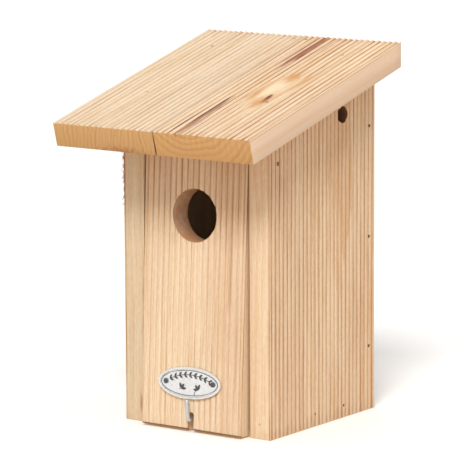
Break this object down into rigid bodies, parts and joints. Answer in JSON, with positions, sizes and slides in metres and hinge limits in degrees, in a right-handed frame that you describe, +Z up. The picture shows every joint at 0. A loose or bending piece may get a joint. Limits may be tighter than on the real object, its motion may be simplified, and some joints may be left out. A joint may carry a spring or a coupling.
{
  "type": "birdhouse",
  "caption": "Wooden nesting box of ridged planks with a sloping roof, a round entrance and a front panel that swings up and is locked by a bent screw hook.",
  "frame": {"origin": "middle of the box's base, on the floor board's underside, half way between the side boards' front and back edges", "axes": "+Z up along the box's height, +Y out of the back towards the wall it hangs on, +X to the right seen from the front; the entrance faces -Y"},
  "size_m": [0.144, 0.1592, 0.229],
  "materials": {
    "side_wood": "planed softwood with sawn edges, untreated",
    "panel_wood": "planed softwood, untreated",
    "roof_wood": "planed softwood with knots, untreated",
    "zinc": "zinc-plated, satin",
    "dark_steel": "dark oxidised nail heads",
    "nail_steel": "bright wire nails, slightly dulled"
  },
  "bodies": {
    "box": {"left_side_board": "side_wood", "right_side_board": "side_wood", "back_board": "side_wood", "floor_board": "side_wood", "roof_board_left": "roof_wood", "roof_board_right": "roof_wood", "hanger_plate": "zinc", "hanger_screw_upper": "zinc", "hanger_screw_lower": "zinc", "pivot_nail_left": "nail_steel", "pivot_nail_right": "nail_steel", "back_nail_left_low": "nail_steel", "back_nail_left_middle": "nail_steel", "back_nail_left_high": "nail_steel", "back_nail_right_low": "nail_steel", "back_nail_right_middle": "nail_steel", "back_nail_right_high": "nail_steel", "floor_nail_left_front": "nail_steel", "floor_nail_left_back": "nail_steel", "floor_nail_right_front": "nail_steel", "floor_nail_right_back": "nail_steel", "roof_nail_left_front": "nail_steel", "roof_nail_left_rear": "nail_steel", "roof_nail_left_middle": "nail_steel", "roof_nail_right_front": "nail_steel", "roof_nail_right_rear": "nail_steel", "roof_nail_right_middle": "nail_steel"},
    "front_door": {"front_panel": "panel_wood", "name_plate": "zinc", "plate_nail_left": "dark_steel", "plate_nail_right": "dark_steel"},
    "latch": {"latch_hook": "zinc"}
  },
  "joints": [
    {"name": "front_panel_hinge", "type": "hinge", "parent": "box", "child": "front_door", "pos_m": [0, -0.0477, 0.1652], "axis": [-1, 0, 0], "range_deg": [0, 85]},
    {"name": "latch_turn", "type": "hinge", "parent": "box", "child": "latch", "pos_m": [0.0003, -0.0475, 0.0075], "axis": [0, 1, 0], "range_deg": [-176, 184]}
  ]
}
